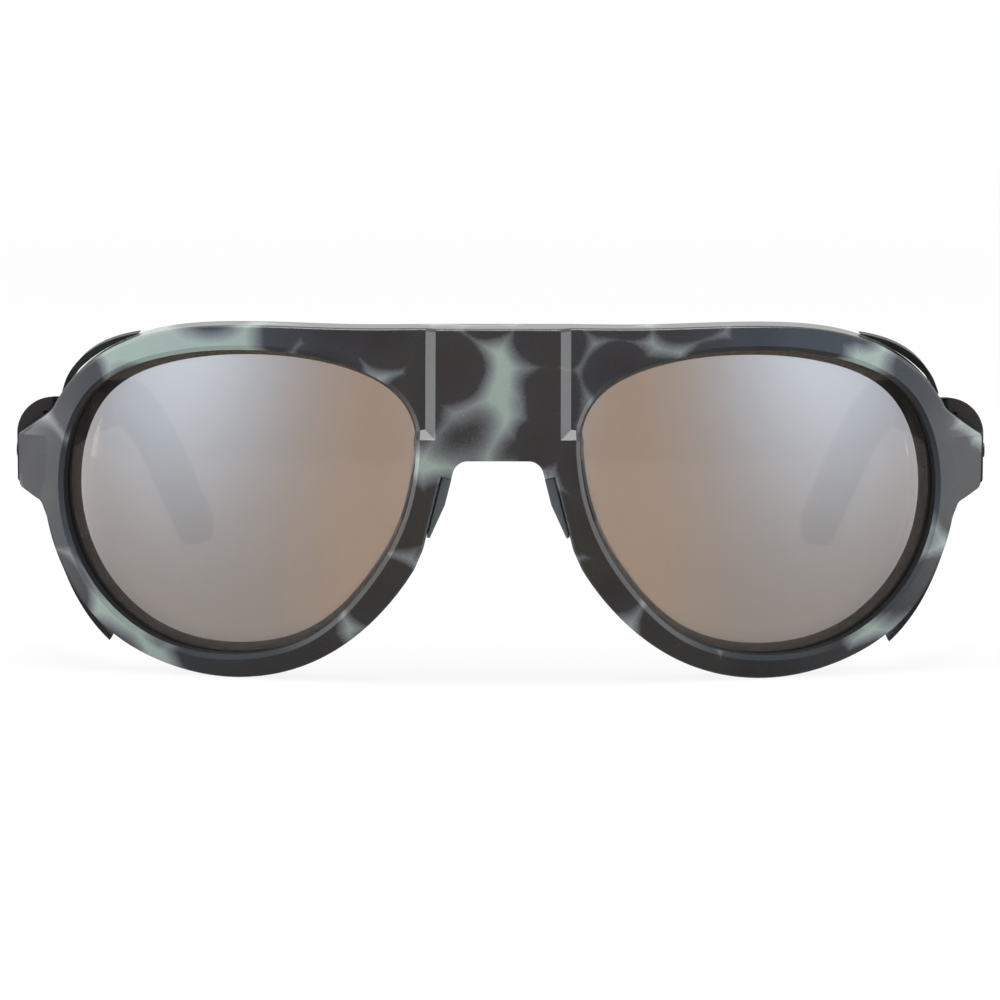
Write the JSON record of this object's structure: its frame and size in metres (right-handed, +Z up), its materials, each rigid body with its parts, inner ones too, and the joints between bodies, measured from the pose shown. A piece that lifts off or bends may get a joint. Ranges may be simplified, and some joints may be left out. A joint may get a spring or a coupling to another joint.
{
  "type": "glacier glasses",
  "caption": "Glacier glasses: round mirrored lenses in a moulded front with a broad bridge, folding temples with soft bent tips, and side shields.",
  "frame": {"origin": "middle of the ground the glasses cover, standing open on the rims and the tips", "axes": "+X to the wearer's left, +Y from the lenses back to the ears, +Z up"},
  "size_m": [0.1514, 0.1484, 0.0541],
  "materials": {
    "front": "satin moulded nylon with a grey tortoise camouflage",
    "temple": "satin moulded nylon with a grey tortoise camouflage",
    "lens": "brown lens with a silver flash mirror",
    "nose_pad": "soft matt",
    "tip": "soft matt",
    "shield": "soft, finely grained",
    "stud": "satin",
    "steel": "bright"
  },
  "bodies": {
    "front": {"front_frame": "front", "left_lens": "lens", "left_nose_pad": "nose_pad", "left_hinge_screw": "steel", "left_hinge_nut": "steel", "right_lens": "lens", "right_nose_pad": "nose_pad", "right_hinge_screw": "steel", "right_hinge_nut": "steel"},
    "left_arm": {"left_temple": "temple", "left_temple_tip": "tip", "left_core_wire": "steel", "left_side_shield": "shield", "left_shield_front_stud": "stud", "left_shield_rear_stud": "stud"},
    "right_arm": {"right_temple": "temple", "right_temple_tip": "tip", "right_core_wire": "steel", "right_side_shield": "shield", "right_shield_front_stud": "stud", "right_shield_rear_stud": "stud"}
  },
  "joints": [
    {"name": "left_fold", "type": "hinge", "parent": "front", "child": "left_arm", "pos_m": [0.07, -0.04444, 0.0329], "axis": [0, 0, 1], "range_deg": [0, 88]},
    {"name": "right_fold", "type": "hinge", "parent": "front", "child": "right_arm", "pos_m": [-0.07, -0.04444, 0.0329], "axis": [0, 0, -1], "range_deg": [0, 82]}
  ]
}
